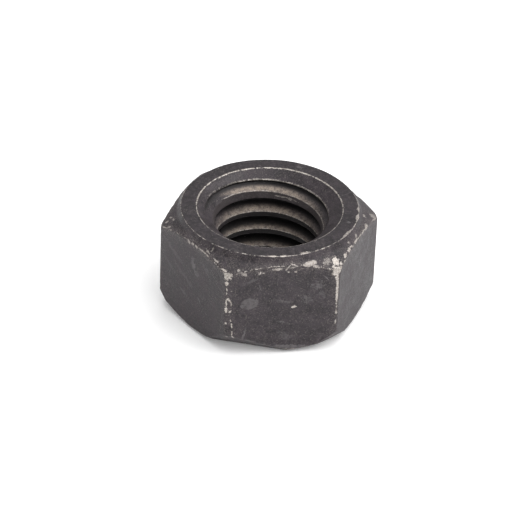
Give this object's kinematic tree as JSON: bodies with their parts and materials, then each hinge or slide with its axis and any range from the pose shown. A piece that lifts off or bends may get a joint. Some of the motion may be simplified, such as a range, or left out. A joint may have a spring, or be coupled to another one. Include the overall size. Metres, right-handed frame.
{
  "type": "hex nut",
  "caption": "Steel hex nut with a right-hand coarse thread, a raised washer face on top, chamfered corners and countersunk thread mouths.",
  "frame": {"origin": "on the thread axis, at the bearing face that the nut stands on", "axes": "+Z along the thread axis towards the raised washer face; +X towards a corner of the hexagon; -Y out of a flat"},
  "size_m": [0.0164, 0.0142, 0.0084],
  "materials": {
    "black_oxide_steel": "worn black oxide"
  },
  "bodies": {
    "root": {"hex_nut": "black_oxide_steel"}
  },
  "joints": []
}
